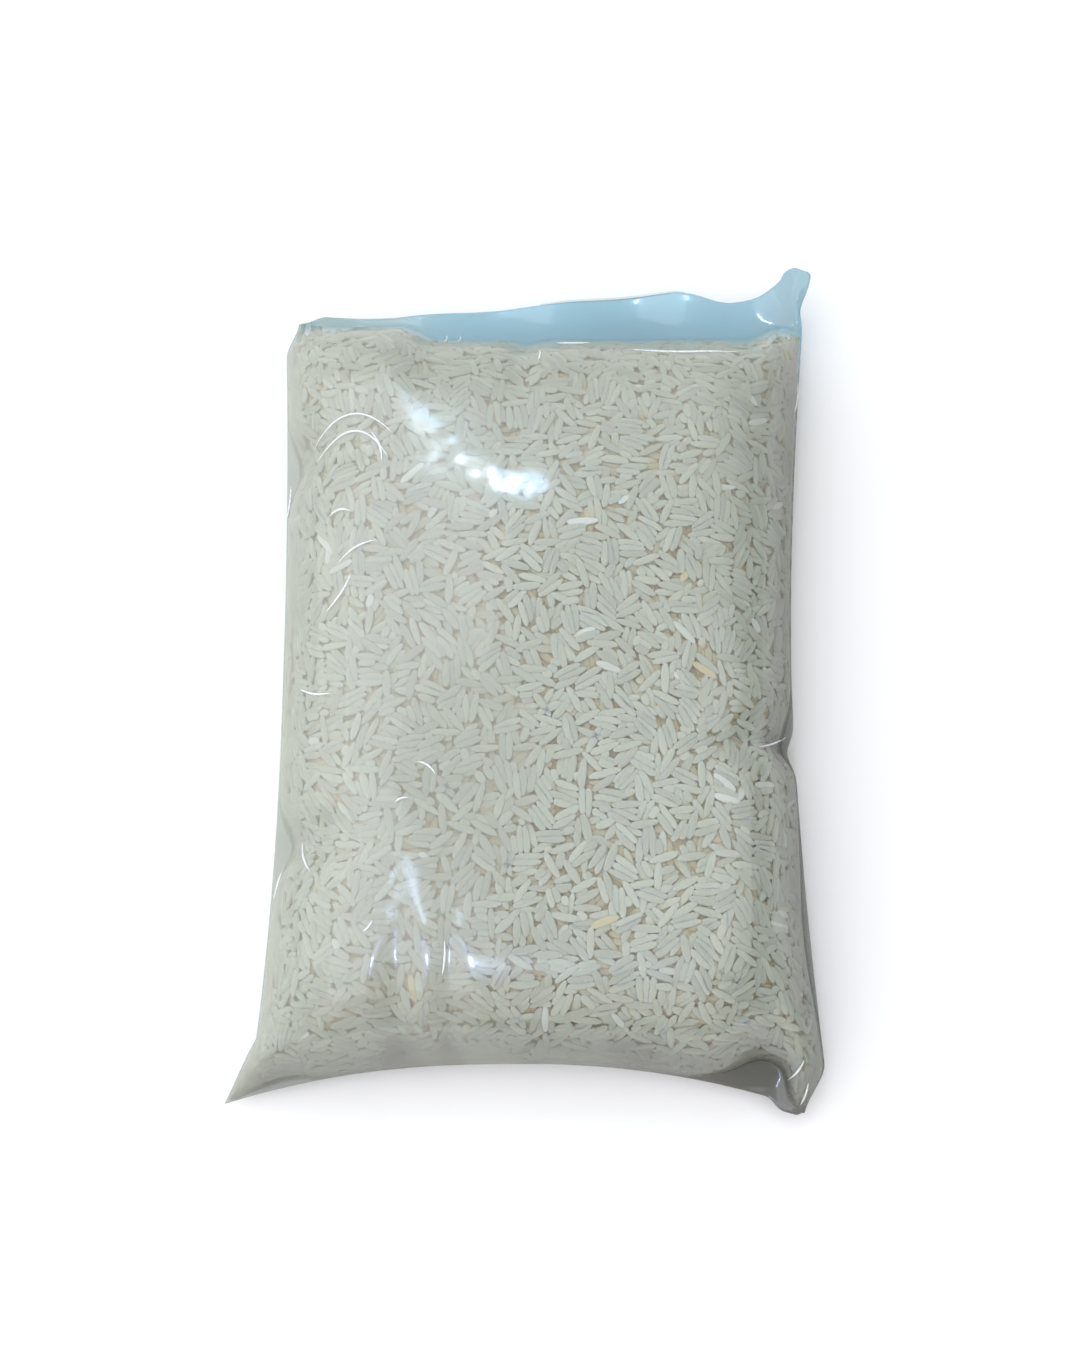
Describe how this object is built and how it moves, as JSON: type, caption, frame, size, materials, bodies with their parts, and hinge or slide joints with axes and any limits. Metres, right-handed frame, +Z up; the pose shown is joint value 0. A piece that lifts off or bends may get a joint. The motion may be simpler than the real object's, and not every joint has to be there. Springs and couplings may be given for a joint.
{
  "type": "bag of rice",
  "caption": "Clear film pillow bag filled with long-grain white rice, lying on its back, with an empty film header along one end and film ears at the corners.",
  "frame": {"origin": "middle of the bag's outer box, at the height of the surface it lies on", "axes": "+X across the bag to the picture's right, +Y along it towards the empty header, +Z up out of the face shown"},
  "size_m": [0.168, 0.248, 0.0446],
  "materials": {
    "rice_bag": "crinkled clear film, glossy where it is loose, with cream-white long-grain rice pressed against it from inside"
  },
  "bodies": {
    "root": {"rice_bag": "rice_bag"}
  },
  "joints": []
}
